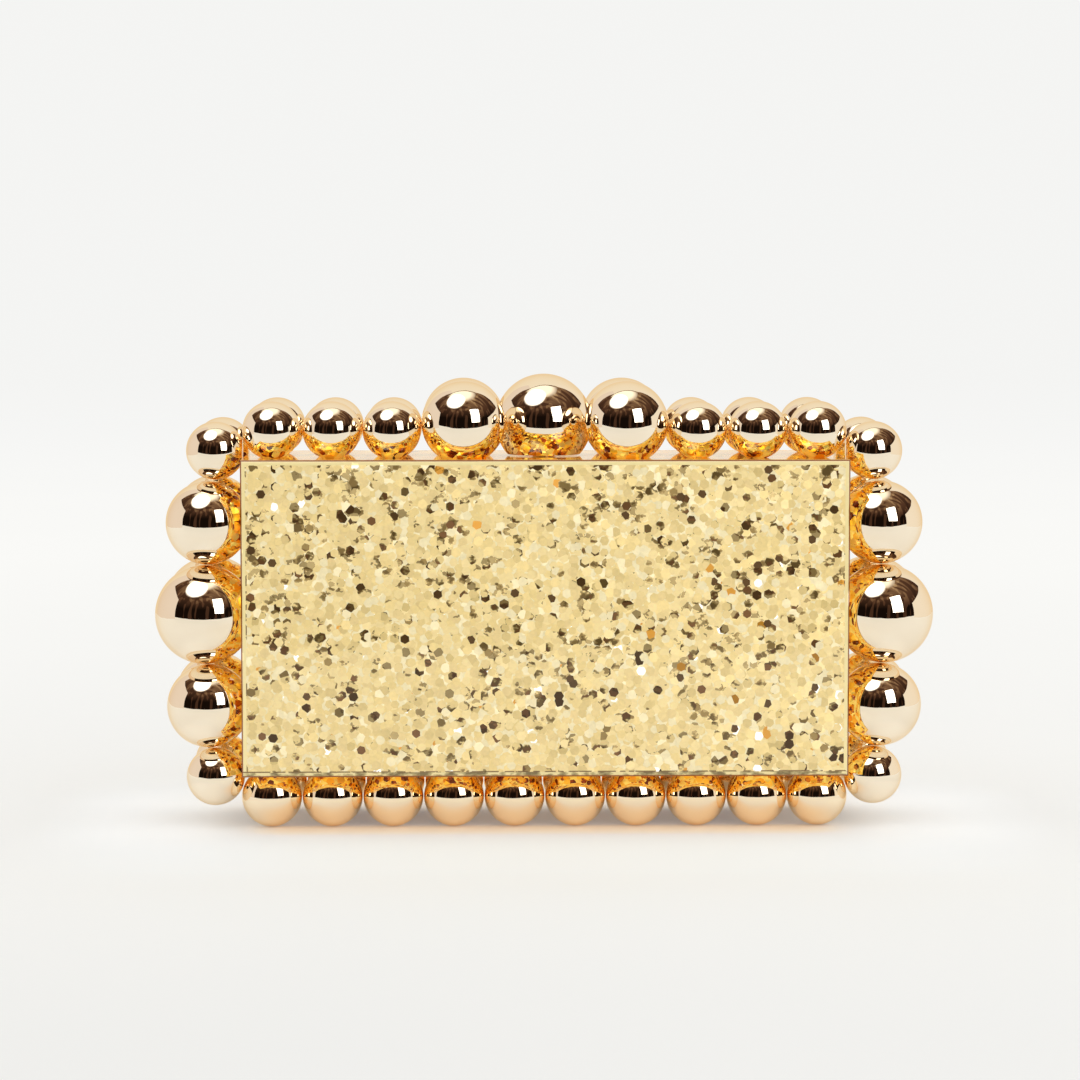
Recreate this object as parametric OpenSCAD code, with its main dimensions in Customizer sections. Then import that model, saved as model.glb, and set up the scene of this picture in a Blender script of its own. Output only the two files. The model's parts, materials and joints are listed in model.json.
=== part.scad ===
// Hard box evening bag: two acrylic trays hinged along the bottom, each edged
// with a ring of plated balls, and held shut by a turning ball clasp on top.
// The front faces -Y, the width runs along X and the bag stands on Z = 0.

/* [Case] */
// Width of the acrylic case
case_w = 155; // [152:0.5:160]
// Height of the acrylic case
case_h = 81; // [80:0.5:84]
// Depth of the closed case, from face to face
case_d = 50; // [46:1:58]
// Thickness of the acrylic sheets
sheet_t = 3; // [2.5:0.25:3.5]
// Bevel round the outer edge of each face panel
bevel = 0.6; // [0.3:0.1:1]
// Gap between the two halves when the bag is shut
parting_gap = 0.3; // [0.2:0.1:0.6]

/* [Balls] */
// Diameter of the small balls along the top and at the corners
small_d = 15; // [14:0.25:15]
// Diameter of the small balls along the bottom
bottom_d = 15.5; // [15:0.25:15.5]
// Diameter of the medium balls
medium_d = 21.5; // [20:0.25:21.5]
// Diameter of the large ball on each side
large_d = 25.5; // [24:0.25:26]
// Distance from a top small ball's centre to its seat
small_seat = 7.1; // [6.5:0.1:7.2]
// Distance from a bottom ball's centre to its seat
bottom_seat = 6.45; // [6.4:0.05:6.6]
// Distance from a medium ball's centre to its seat
medium_seat = 9; // [8.5:0.1:10]
// Distance from a large ball's centre to its seat
large_seat = 9.9; // [9:0.1:11]
// Distance between the front ring and the back ring
row_spacing = 28; // [27:0.5:30]
// Distance between the centres of the bottom balls
bottom_pitch = 15.65; // [15.6:0.05:15.7]
// Distance from the middle of the top to each medium ball
top_medium_x = 20.9; // [20.5:0.1:21.5]
// Gap between neighbouring balls along the top
top_gap = 0.4; // [0.2:0.1:0.4]
// Gap between neighbouring balls down the sides
side_gap = 0.1; // [0.1:0.05:0.2]
// Height of the large side ball above the middle of the case
side_lift = 0.3; // [0:0.1:0.5]
// Distance of the upper corner balls from the side of the case
upper_corner_seat = 6.9; // [6.8:0.1:7.2]
// Height of the upper corner balls above the top of the case
upper_corner_rise = 1.9; // [1.8:0.1:2.2]
// Distance of the lower corner balls from the side of the case
lower_corner_seat = 7.35; // [7.3:0.05:7.4]
// Drop of the lower corner balls below the bottom of the case
lower_corner_drop = 1.12; // [1.08:0.02:1.16]

/* [Ball fixings] */
// Diameter of the screws that hold the balls
screw_d = 3; // [2.5:0.1:3]
// Diameter of the countersunk screw heads
screw_head_d = 5.6; // [5:0.1:5.8]
// Depth of the screw inside a ball
screw_grip = 6; // [4:0.5:6]
// Diameter of the dowels that hold the corner balls
dowel_d = 1.8; // [1.5:0.1:1.8]

/* [Lining] */
// Thickness of the lining
lining_t = 0.8; // [0.5:0.1:1.2]
// Gap between the lining and the acrylic
lining_gap = 0.15; // [0.1:0.05:0.3]
// Distance that the lining stops short of the parting line
lining_setback = 1; // [0.5:0.5:3]

/* [Hinge] */
// Length of each of the two hinges
hinge_l = 32; // [28:1:36]
// Distance of each hinge from the middle of the bag
hinge_x = 46; // [40:1:50]
// Thickness of the hinge leaves
leaf_t = 1; // [0.8:0.1:1]
// Distance from the hinge pin to the far edge of a leaf
leaf_reach = 8; // [7.8:0.1:8.1]
// Outer diameter of the hinge knuckles
knuckle_d = 3.1; // [2.9:0.1:3.2]
// Diameter of the hinge pins
hinge_pin_d = 1.6; // [1.4:0.1:1.8]
// Depth of the pin's centre below the case
hinge_drop = 1.7; // [1.7:0.05:1.8]

/* [Clasp] */
// Diameter of the clasp ball
clasp_d = 25.2; // [24:0.1:25.5]
// Distance from the clasp ball's centre to its flat
clasp_seat = 8.3; // [8:0.1:9]
// Gap between the clasp ball and the top of the case
clasp_gap = 0.3; // [0.3:0.1:0.6]
// Diameter of the spindle where it turns in its bracket
spindle_d = 4; // [3.5:0.1:4.2]
// Distance from the spindle to the keeper's pin
keeper_reach = 7.6; // [7.4:0.1:8]

/* [Hidden] */
$fn = 64;

small_r = small_d / 2;
bottom_r = bottom_d / 2;
medium_r = medium_d / 2;
large_r = large_d / 2;
base_z = bottom_r + bottom_seat;
top_z = base_z + case_h;
side_x = case_w / 2;
inner_x = side_x - sheet_t;
inner_top = top_z - sheet_t;
face_y = case_d / 2;
inner_y = face_y - sheet_t;
row_y = row_spacing / 2;
lip_y = parting_gap / 2;
// Looseness of a screw in its hole, and of a screw or stud in a ball
hole_clearance = 0.1;
bore_clearance = 0.03;
// Looseness of a turning shaft in its bore
running_clearance = 0.05;
screw_r = screw_d / 2;
screw_head_r = screw_head_d / 2;
countersink = screw_head_r - screw_r;
// The hexagonal socket in a ball screw's head
socket_r = screw_r * 0.6;
socket_depth = countersink * 0.6;
// The slot in the head of each small screw
slot_w = 0.5;
slot_depth = 0.35;
// Overlap of cutting shapes past the faces they cut
cut = 1;

// Centres of the balls on one ring
bottom_count = 10;
top_small_count = 3;
top_small_x = top_medium_x + medium_r + small_r + side_gap;
top_small_pitch = small_d + top_gap;
side_pitch = medium_r + large_r + side_gap;
side_mid_z = base_z + case_h / 2 + side_lift;
bottom_xs = [for (i = [0 : bottom_count - 1]) (i - (bottom_count - 1) / 2) * bottom_pitch];
top_small_xs = [
    for (side = [-1, 1], i = [0 : top_small_count - 1]) side * (top_small_x + i * top_small_pitch)
];
top_medium_xs = [-top_medium_x, top_medium_x];
side_medium_zs = [side_mid_z - side_pitch, side_mid_z + side_pitch];
upper_corner_z = top_z + upper_corner_rise;
lower_corner_z = base_z - lower_corner_drop;

// The dowel of a corner ball slopes from the ball's centre into the side wall
dowel_inset = 2.6;
dowel_r = dowel_d / 2;
dowel_past_centre = 1;
// Distance along the dowel from the wall's inner face to the dowel's end
dowel_set_in = 1;

// Hinge
hinge_z = base_z - hinge_drop;
knuckle_r = knuckle_d / 2;
hinge_pin_r = hinge_pin_d / 2;
knuckle_count = 5;
knuckle_pitch = hinge_l / knuckle_count;
knuckle_gap = 0.2;
leaf_clear = 2;
leaf_screw_x = hinge_l / 2 - 5;
leaf_screw_y = 5.6;
leaf_screw_r = 0.9;
leaf_screw_head_r = 1.6;
leaf_screw_head_h = 0.7;
leaf_screw_grip = 2.2;
pin_head_r = 1.2;
pin_head_t = 0.5;

// Clasp: the levels run down from the ball to the end screw
clasp_r = clasp_d / 2;
spindle_r = spindle_d / 2;
collar_r = 2.9;
notch_r = 3.4;
stud_r = 1.5;
stud_l = 8;
bracket_pad_t = 0.6;
bracket_t = 1.2;
bracket_half_w = 12;
bracket_front = 4.6;
bracket_back = 14;
bracket_pad_front = 1;
bracket_top = inner_top - bracket_pad_t;
bracket_bottom = bracket_top - bracket_t;
bracket_full_t = bracket_t + bracket_pad_t;
bracket_screw_x = 8.5;
bracket_screw_y = 8;
plate_screw_r = 1;
plate_screw_head_r = 1.9;
plate_screw_grip = 2.2;
collar_bottom = bracket_top + 0.1;
washer_t = 0.35;
washer_r = 3.6;
washer_top = bracket_bottom - 0.1;
hook_top = washer_top - washer_t - 0.05;
hook_t = 1.4;
hook_bottom = hook_top - hook_t;
hook_hub_r = 4;
end_screw_r = 0.8;
end_screw_l = 3;
end_screw_head_r = 2.6;
end_screw_head_t = 0.9;
keeper_pin_r = 1.3;
keeper_rivet_r = 0.8;
keeper_t = 1;
keeper_half_w = 8;
keeper_y = [-13, -5.4];
keeper_screw_x = 5.5;
keeper_screw_y = -9.2;
hook_clear = 0.3;
hook_inner_r = keeper_reach + keeper_pin_r + hook_clear;
hook_outer_r = hook_inner_r + 2.2;
// Angles of the hook's finger and spoke when the clasp is released
finger_from = -35;
finger_to = 45;
spoke_from = 30;
lining_notch_x = 13.5;
lining_notch_y = 16;

// ---- shared shapes ----

module across(x0, x1, y0, y1, z0, z1) {
    translate([x0, y0, z0]) cube([x1 - x0, y1 - y0, z1 - z0]);
}

// Places a shape on the top, the bottom or a side of the front ring. Its +Z
// then points away from the case, and its origin lies on the case.
module on_top(x) { translate([x, -row_y, top_z]) children(); }
module on_bottom(x) { translate([x, -row_y, base_z]) rotate([180, 0, 0]) children(); }
module on_side(side, z) { translate([side * side_x, -row_y, z]) rotate([0, side * 90, 0]) children(); }

module at_all_screws() {
    for (x = bottom_xs) on_bottom(x) children();
    for (x = concat(top_small_xs, top_medium_xs)) on_top(x) children();
    for (side = [-1, 1]) at_side_screws(side) children();
}

module at_side_screws(side) {
    for (z = concat(side_medium_zs, [side_mid_z])) on_side(side, z) children();
}

// A round ball with a flat at its seat
module flat_ball(r, seat) {
    intersection() {
        translate([0, 0, seat]) sphere(r = r);
        translate([-r, -r, 0]) cube([2 * r, 2 * r, seat + r]);
    }
}

module screwed_ball(r, seat) {
    difference() {
        flat_ball(r, seat);
        translate([0, 0, -cut]) cylinder(r = screw_r + bore_clearance, h = screw_grip + cut);
    }
}

module ball_screw() {
    difference() {
        translate([0, 0, -sheet_t]) union() {
            cylinder(r1 = screw_head_r, r2 = screw_r, h = countersink);
            cylinder(r = screw_r, h = sheet_t + screw_grip - hole_clearance);
        }
        translate([0, 0, -sheet_t - cut]) cylinder(r = socket_r, h = cut + socket_depth, $fn = 6);
    }
}

module ball_screw_hole() {
    translate([0, 0, -sheet_t - cut]) cylinder(r = screw_r + hole_clearance, h = sheet_t + 2 * cut);
    translate([0, 0, -sheet_t - cut])
        cylinder(
            r1 = screw_head_r + hole_clearance + cut, r2 = screw_r + hole_clearance,
            h = countersink + cut
        );
}

// Cuts the slot in a screw head whose underside is z = 0
module head_slot(head_r) { across(-head_r - cut, head_r + cut, -slot_w / 2, slot_w / 2, -cut, slot_depth); }

// A rod of radius r on the sloping line of one corner ball's dowel. It runs
// from inside the side wall to a little past the ball's centre.
module corner_rod(side, seat, ball_z, wall_z, r) {
    run = seat + sheet_t;
    rise = ball_z - wall_z;
    translate([side * inner_x, -row_y, wall_z])
        rotate([0, side * atan2(run, rise), 0])
        translate([0, 0, dowel_set_in])
        cylinder(r = r, h = norm([run, rise]) + dowel_past_centre - dowel_set_in);
}

module corner_rods(side, r) {
    corner_rod(side, upper_corner_seat, upper_corner_z, top_z - dowel_inset, r);
    corner_rod(side, lower_corner_seat, lower_corner_z, base_z + dowel_inset, r);
}

// Every piece of a half is drawn for the front one. The back one mirrors it.
module to_back() { mirror([0, 1, 0]) children(); }

// ---- acrylic case ----

module face_panel() {
    intersection() {
        translate([0, 0, base_z]) linear_extrude(case_h)
            polygon([
                [-side_x, -inner_y], [side_x, -inner_y],
                [side_x, -face_y + bevel], [side_x - bevel, -face_y],
                [-side_x + bevel, -face_y], [-side_x, -face_y + bevel],
            ]);
        translate([-side_x, 0, 0]) rotate([90, 0, 90]) linear_extrude(case_w)
            polygon([
                [-inner_y, base_z], [-inner_y, top_z],
                [-face_y + bevel, top_z], [-face_y, top_z - bevel],
                [-face_y, base_z + bevel], [-face_y + bevel, base_z],
            ]);
    }
}

module top_wall() {
    difference() {
        across(-inner_x, inner_x, -inner_y, -lip_y, inner_top, top_z);
        for (x = concat(top_small_xs, top_medium_xs)) on_top(x) ball_screw_hole();
        translate([0, 0, inner_top - cut]) cylinder(r = notch_r, h = sheet_t + 2 * cut);
    }
}

module bottom_wall() {
    difference() {
        across(-inner_x, inner_x, -inner_y, -lip_y, base_z, base_z + sheet_t);
        for (x = bottom_xs) on_bottom(x) ball_screw_hole();
        at_leaf_screws() translate([0, 0, -cut])
            cylinder(r = leaf_screw_r + bore_clearance, h = leaf_screw_grip + cut);
    }
}

module side_wall(side) {
    x = [side * inner_x, side * side_x];
    difference() {
        across(min(x), max(x), -inner_y, -lip_y, base_z, top_z);
        at_side_screws(side) ball_screw_hole();
        corner_rods(side, dowel_r + bore_clearance);
    }
}

module lining() {
    out = lining_gap;
    in = lining_gap + lining_t;
    low = base_z + sheet_t;
    difference() {
        across(-inner_x + out, inner_x - out, -inner_y + out, -lining_setback, low + out, inner_top - out);
        across(-inner_x + in, inner_x - in, -inner_y + in, cut, low + in, inner_top - in);
        across(-lining_notch_x, lining_notch_x, -lining_notch_y, cut, inner_top - in - cut, top_z);
    }
}

// ---- balls and their fixings ----

module top_small_balls() { for (x = top_small_xs) on_top(x) screwed_ball(small_r, small_seat); }
module top_medium_balls() { for (x = top_medium_xs) on_top(x) screwed_ball(medium_r, medium_seat); }
module bottom_small_balls() { for (x = bottom_xs) on_bottom(x) screwed_ball(bottom_r, bottom_seat); }

module side_medium_balls() {
    for (side = [-1, 1], z = side_medium_zs) on_side(side, z) screwed_ball(medium_r, medium_seat);
}

module side_large_balls() {
    for (side = [-1, 1]) on_side(side, side_mid_z) screwed_ball(large_r, large_seat);
}

module corner_balls() {
    difference() {
        for (side = [-1, 1]) {
            on_side(side, upper_corner_z) flat_ball(small_r, upper_corner_seat);
            on_side(side, lower_corner_z) flat_ball(small_r, lower_corner_seat);
        }
        for (side = [-1, 1]) corner_rods(side, dowel_r + bore_clearance);
    }
}

module ball_screws() { at_all_screws() ball_screw(); }
module corner_dowels() { for (side = [-1, 1]) corner_rods(side, dowel_r); }

// ---- hinge ----

module at_hinges() { for (side = [-1, 1]) translate([side * hinge_x, 0, hinge_z]) children(); }

module at_leaf_screws() {
    for (side = [-1, 1], x = [-leaf_screw_x, leaf_screw_x])
        translate([side * hinge_x + x, -leaf_screw_y, base_z]) children();
}

module along_x(r, x0, x1) { translate([x0, 0, 0]) rotate([0, 90, 0]) cylinder(r = r, h = x1 - x0); }

// One leaf, with the knuckles in the list and room for the other leaf's
module leaf(knuckles) {
    leaf_top = hinge_drop;
    leaf_low = hinge_drop - leaf_t;
    difference() {
        union() {
            across(-hinge_l / 2, hinge_l / 2, -leaf_reach, -leaf_clear, leaf_low, leaf_top);
            for (k = knuckles) {
                x0 = -hinge_l / 2 + k * knuckle_pitch + knuckle_gap / 2;
                x1 = x0 + knuckle_pitch - knuckle_gap;
                along_x(knuckle_r, x0, x1);
                across(x0, x1, -leaf_clear - leaf_t, 0, leaf_low, knuckle_r);
            }
        }
        along_x(hinge_pin_r + running_clearance, -hinge_l, hinge_l);
        for (x = [-leaf_screw_x, leaf_screw_x])
            translate([x, -leaf_screw_y, leaf_low - cut])
            cylinder(r = leaf_screw_r + hole_clearance, h = leaf_t + 2 * cut);
    }
}

module hinge_pin() {
    end = hinge_l / 2 + knuckle_gap / 2;
    along_x(hinge_pin_r, -end, end);
    along_x(pin_head_r, -end - pin_head_t, -end);
    along_x(pin_head_r, end, end + pin_head_t);
}

module leaf_screw() {
    shank_l = leaf_t + leaf_screw_grip - hole_clearance;
    translate([0, 0, -leaf_t]) cylinder(r = leaf_screw_r, h = shank_l);
    translate([0, 0, -leaf_t - leaf_screw_head_h]) difference() {
        cylinder(r = leaf_screw_head_r, h = leaf_screw_head_h);
        head_slot(leaf_screw_head_r);
    }
}

// ---- clasp ----

// A countersunk screw that points up through a plate whose underside is z = 0
module plate_screw(plate_t, loose = 0) {
    head_h = plate_screw_head_r - plate_screw_r;
    cylinder(r1 = plate_screw_head_r + loose, r2 = plate_screw_r + loose, h = head_h);
    cylinder(r = plate_screw_r + loose, h = plate_t + plate_screw_grip - hole_clearance + loose);
}

module slotted_plate_screw(plate_t) {
    difference() {
        plate_screw(plate_t);
        head_slot(plate_screw_head_r);
    }
}

module at_bracket_screws() {
    for (side = [-1, 1]) translate([side * bracket_screw_x, bracket_screw_y, bracket_bottom]) children();
}

module at_keeper_screws() {
    for (side = [-1, 1])
        translate([side * keeper_screw_x, keeper_screw_y, inner_top - keeper_t]) children();
}

module clasp_ball_body() {
    translate([0, 0, top_z + clasp_gap]) difference() {
        flat_ball(clasp_r, clasp_seat);
        translate([0, 0, -cut]) cylinder(r = stud_r + bore_clearance, h = stud_l + cut);
    }
}

module spindle() {
    ball_bottom = top_z + clasp_gap;
    difference() {
        union() {
            translate([0, 0, ball_bottom]) cylinder(r = stud_r, h = stud_l - hole_clearance);
            translate([0, 0, collar_bottom]) cylinder(r = collar_r, h = ball_bottom - collar_bottom);
            translate([0, 0, hook_top]) cylinder(r = spindle_r, h = collar_bottom - hook_top);
            translate([0, 0, hook_bottom]) cylinder(r = stud_r, h = hook_t);
        }
        translate([0, 0, hook_bottom - cut])
            cylinder(r = end_screw_r + bore_clearance, h = end_screw_l + cut);
    }
}

// A flat sector between two radii and two angles less than 180 degrees apart
module sector(r0, r1, from, to, h) {
    reach = 2 * r1;
    middle = (from + to) / 2;
    intersection() {
        difference() {
            cylinder(r = r1, h = h);
            translate([0, 0, -cut]) cylinder(r = r0, h = h + 2 * cut);
        }
        linear_extrude(h) polygon([
            [0, 0],
            reach * [cos(from), sin(from)],
            2 * reach * [cos(middle), sin(middle)],
            reach * [cos(to), sin(to)],
        ]);
    }
}

module hook() {
    translate([0, 0, hook_bottom]) difference() {
        union() {
            cylinder(r = hook_hub_r, h = hook_t);
            sector(hook_inner_r, hook_outer_r, finger_from, finger_to, hook_t);
            sector(stud_r, hook_outer_r, spoke_from, finger_to, hook_t);
        }
        translate([0, 0, -cut]) cylinder(r = stud_r + bore_clearance, h = hook_t + 2 * cut);
    }
}

module washer() {
    translate([0, 0, washer_top - washer_t]) difference() {
        cylinder(r = washer_r, h = washer_t);
        translate([0, 0, -cut]) cylinder(r = spindle_r + running_clearance, h = washer_t + 2 * cut);
    }
}

module end_screw() {
    translate([0, 0, hook_bottom]) cylinder(r = end_screw_r, h = end_screw_l - hole_clearance);
    translate([0, 0, hook_bottom - end_screw_head_t]) difference() {
        cylinder(r = end_screw_head_r, h = end_screw_head_t);
        head_slot(end_screw_head_r);
    }
}

module bracket() {
    difference() {
        union() {
            across(
                -bracket_half_w, bracket_half_w, -bracket_front, bracket_back,
                bracket_bottom, bracket_top
            );
            across(
                -bracket_half_w, bracket_half_w, bracket_pad_front, bracket_back,
                bracket_top, inner_top
            );
        }
        translate([0, 0, bracket_bottom - cut])
            cylinder(r = spindle_r + running_clearance, h = bracket_t + 2 * cut);
        translate([0, 0, bracket_top]) cylinder(r = notch_r, h = bracket_pad_t + cut);
        at_bracket_screws() plate_screw(bracket_full_t, hole_clearance);
    }
}

module keeper() {
    difference() {
        across(-keeper_half_w, keeper_half_w, keeper_y[0], keeper_y[1], inner_top - keeper_t, inner_top);
        at_keeper_screws() plate_screw(keeper_t, hole_clearance);
        translate([0, -keeper_reach, inner_top - keeper_t - cut])
            cylinder(r = keeper_rivet_r + bore_clearance, h = keeper_t + 2 * cut);
    }
}

// The pin's thin end is riveted into the keeper
module keeper_pin() {
    translate([0, -keeper_reach, hook_bottom - hook_clear]) {
        pin_l = inner_top - keeper_t - hook_bottom + hook_clear;
        cylinder(r = keeper_pin_r, h = pin_l);
        cylinder(r = keeper_rivet_r, h = pin_l + keeper_t);
    }
}

// ---- nodes ----

acrylic = [0.93, 0.85, 0.56];
plated = [0.93, 0.78, 0.62];
steel = [0.75, 0.76, 0.78];
cloth = [0.80, 0.68, 0.50];

module front_face_panel() { color(acrylic) face_panel(); }
module front_top_wall() {
    color(acrylic) difference() {
        top_wall();
        at_keeper_screws() plate_screw(keeper_t, bore_clearance);
    }
}
module front_bottom_wall() { color(acrylic) bottom_wall(); }
module front_left_wall() { color(acrylic) side_wall(-1); }
module front_right_wall() { color(acrylic) side_wall(1); }
module front_lining() { color(cloth) lining(); }
module back_face_panel() { color(acrylic) to_back() face_panel(); }
module back_top_wall() {
    color(acrylic) difference() {
        to_back() top_wall();
        at_bracket_screws() plate_screw(bracket_full_t, bore_clearance);
    }
}
module back_bottom_wall() { color(acrylic) to_back() bottom_wall(); }
module back_left_wall() { color(acrylic) to_back() side_wall(-1); }
module back_right_wall() { color(acrylic) to_back() side_wall(1); }
module back_lining() { color(cloth) to_back() lining(); }

module front_top_small_balls() { color(plated) top_small_balls(); }
module front_top_medium_balls() { color(plated) top_medium_balls(); }
module front_corner_balls() { color(plated) corner_balls(); }
module front_side_medium_balls() { color(plated) side_medium_balls(); }
module front_side_large_balls() { color(plated) side_large_balls(); }
module front_bottom_small_balls() { color(plated) bottom_small_balls(); }
module back_top_small_balls() { color(plated) to_back() top_small_balls(); }
module back_top_medium_balls() { color(plated) to_back() top_medium_balls(); }
module back_corner_balls() { color(plated) to_back() corner_balls(); }
module back_side_medium_balls() { color(plated) to_back() side_medium_balls(); }
module back_side_large_balls() { color(plated) to_back() side_large_balls(); }
module back_bottom_small_balls() { color(plated) to_back() bottom_small_balls(); }

module front_ball_screws() { color(steel) ball_screws(); }
module back_ball_screws() { color(steel) to_back() ball_screws(); }
module front_corner_dowels() { color(steel) corner_dowels(); }
module back_corner_dowels() { color(steel) to_back() corner_dowels(); }

module hinge_front_leaves() { color(plated) at_hinges() leaf([1, 3]); }
module hinge_back_leaves() { color(plated) at_hinges() to_back() leaf([0, 2, 4]); }
module hinge_pins() { color(steel) at_hinges() hinge_pin(); }
module hinge_front_screws() { color(steel) at_leaf_screws() leaf_screw(); }
module hinge_back_screws() { color(steel) to_back() at_leaf_screws() leaf_screw(); }

module clasp_ball() { color(plated) clasp_ball_body(); }
module clasp_spindle() { color(plated) spindle(); }
module clasp_hook() { color(plated) hook(); }
module clasp_washer() { color(steel) washer(); }
module clasp_end_screw() { color(steel) end_screw(); }
module clasp_bracket() { color(plated) bracket(); }
module clasp_bracket_screws() { color(steel) at_bracket_screws() slotted_plate_screw(bracket_full_t); }
module clasp_keeper() { color(plated) keeper(); }
module clasp_keeper_pin() { color(steel) keeper_pin(); }
module clasp_keeper_screws() { color(steel) at_keeper_screws() slotted_plate_screw(keeper_t); }

front_face_panel();
front_top_wall();
front_bottom_wall();
front_left_wall();
front_right_wall();
front_lining();
back_face_panel();
back_top_wall();
back_bottom_wall();
back_left_wall();
back_right_wall();
back_lining();
front_top_small_balls();
front_top_medium_balls();
front_corner_balls();
front_side_medium_balls();
front_side_large_balls();
front_bottom_small_balls();
back_top_small_balls();
back_top_medium_balls();
back_corner_balls();
back_side_medium_balls();
back_side_large_balls();
back_bottom_small_balls();
front_ball_screws();
back_ball_screws();
front_corner_dowels();
back_corner_dowels();
hinge_front_leaves();
hinge_back_leaves();
hinge_pins();
hinge_front_screws();
hinge_back_screws();
clasp_ball();
clasp_spindle();
clasp_hook();
clasp_washer();
clasp_end_screw();
clasp_bracket();
clasp_bracket_screws();
clasp_keeper();
clasp_keeper_pin();
clasp_keeper_screws();
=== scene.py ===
import json
import math

import bmesh
import bpy
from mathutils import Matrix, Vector


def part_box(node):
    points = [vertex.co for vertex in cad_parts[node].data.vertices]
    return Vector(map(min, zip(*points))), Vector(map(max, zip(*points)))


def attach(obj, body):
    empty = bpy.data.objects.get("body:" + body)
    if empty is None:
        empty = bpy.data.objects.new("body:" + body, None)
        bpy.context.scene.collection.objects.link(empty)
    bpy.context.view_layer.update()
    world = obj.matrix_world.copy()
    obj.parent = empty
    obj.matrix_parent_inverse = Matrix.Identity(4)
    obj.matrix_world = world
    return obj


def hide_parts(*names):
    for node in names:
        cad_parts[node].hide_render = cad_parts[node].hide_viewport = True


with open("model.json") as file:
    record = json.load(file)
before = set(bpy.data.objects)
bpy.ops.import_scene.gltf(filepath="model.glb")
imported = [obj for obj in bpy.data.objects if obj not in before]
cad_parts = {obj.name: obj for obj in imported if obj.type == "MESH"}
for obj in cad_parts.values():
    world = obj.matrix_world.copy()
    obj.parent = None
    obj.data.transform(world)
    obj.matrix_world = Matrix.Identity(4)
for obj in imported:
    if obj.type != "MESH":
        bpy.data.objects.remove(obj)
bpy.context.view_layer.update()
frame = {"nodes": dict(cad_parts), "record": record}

MM = 0.001
HALVES = {"front": "front_half", "back": "back_half"}
# For each group of balls: the way from a ball's centre to the case
BALL_SEATS = {
    "top_small_balls": "down", "top_medium_balls": "down", "bottom_small_balls": "up",
    "side_medium_balls": "inward", "side_large_balls": "inward", "corner_balls": "inward",
}
# The screw hole in a ball
BORE_RADIUS = 1.53 * MM
BORE_DEPTH = 6 * MM


# ---- node trees ----

def rgb(red, green, blue):
    """A colour from its 0 to 255 screen values, as the linear colour that a socket takes."""
    def linear(value):
        value /= 255
        return value / 12.92 if value <= 0.04045 else ((value + 0.055) / 1.055) ** 2.4
    return (linear(red), linear(green), linear(blue), 1)


def add(tree, kind, inputs=None, **settings):
    """Adds a node. A socket given as an input is linked, and any other value is set."""
    node = tree.nodes.new(kind)
    for name, value in settings.items():
        setattr(node, name, value)
    for name, value in (inputs or {}).items():
        if isinstance(value, bpy.types.NodeSocket):
            tree.links.new(value, node.inputs[name])
        else:
            node.inputs[name].default_value = value
    return node


def maths(tree, operation, *values):
    return add(tree, "ShaderNodeMath", dict(enumerate(values)), operation=operation).outputs[0]


def product(tree, first, *others):
    for value in others:
        first = maths(tree, "MULTIPLY", first, value)
    return first


def vectors(tree, operation, *values):
    node = add(tree, "ShaderNodeVectorMath", dict(enumerate(values)), operation=operation)
    return node.outputs["Vector"]


def xyz(tree, vector):
    """The parts of a vector, under "X", "Y" and "Z"."""
    return add(tree, "ShaderNodeSeparateXYZ", {0: vector}).outputs


def scaled(tree, vector, factor):
    node = add(tree, "ShaderNodeVectorMath", {0: vector, "Scale": factor}, operation="SCALE")
    return node.outputs["Vector"]


def mix(tree, factor, below, above):
    node = add(tree, "ShaderNodeMix", {0: factor, 6: below, 7: above}, data_type="RGBA")
    return node.outputs[2]


def multiplied(tree, colour, factor):
    """A colour times another colour."""
    result = mix(tree, 1.0, colour, factor)
    result.node.blend_type = "MULTIPLY"
    return result


def shaded(tree, colour, shade):
    """A colour times a number."""
    return multiplied(tree, colour, scaled(tree, (1.0, 1.0, 1.0), shade))


def mix_numbers(tree, factor, below, above):
    node = add(tree, "ShaderNodeMix", {0: factor, 2: below, 3: above}, data_type="FLOAT")
    return node.outputs[0]


def mix_vectors(tree, factor, below, above):
    node = add(tree, "ShaderNodeMix", {0: factor, 4: below, 5: above}, data_type="VECTOR")
    return node.outputs[1]


def ramp(tree, factor, stops, interpolation="LINEAR"):
    """A colour ramp from a list of (place, colour)."""
    node = add(tree, "ShaderNodeValToRGB", {"Fac": factor})
    elements = node.color_ramp.elements
    node.color_ramp.interpolation = interpolation
    while len(elements) < len(stops):
        elements.new(1)
    for element, (place, colour) in zip(elements, stops):
        element.position = place
        element.color = colour
    return node.outputs["Color"]


def map_range(tree, value, low, high, new_low=0.0, new_high=1.0, kind="LINEAR"):
    inputs = {"Value": value, 1: low, 2: high, 3: new_low, 4: new_high}
    return add(tree, "ShaderNodeMapRange", inputs, interpolation_type=kind).outputs[0]


def noise_at(tree, point, scale, detail=2.0, rough=0.5):
    inputs = {"Vector": point, "Scale": scale, "Detail": detail, "Roughness": rough}
    return add(tree, "ShaderNodeTexNoise", inputs).outputs["Fac"]


def eased(tree, value, low, high, new_low=0.0, new_high=1.0):
    return map_range(tree, value, low, high, new_low, new_high, "SMOOTHSTEP")


def here(tree, **settings):
    """The place of each point in metres, from the origin or from another object's."""
    return add(tree, "ShaderNodeTexCoord", **settings).outputs["Object"]


def here_in_mm(tree):
    return scaled(tree, here(tree), 1 / MM)


def surface_normal(tree):
    """The way the surface faces, in the object's own axes."""
    return add(tree, "ShaderNodeTexCoord").outputs["Normal"]


def new_material(name):
    material = bpy.data.materials.new(name)
    material.use_nodes = True
    tree = material.node_tree
    shader = tree.nodes["Principled BSDF"]
    return material, tree, shader


def link(tree, node, sources):
    """Links an output to each of a node's sockets named."""
    for socket, source in sources.items():
        tree.links.new(source, node.inputs[socket])


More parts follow.
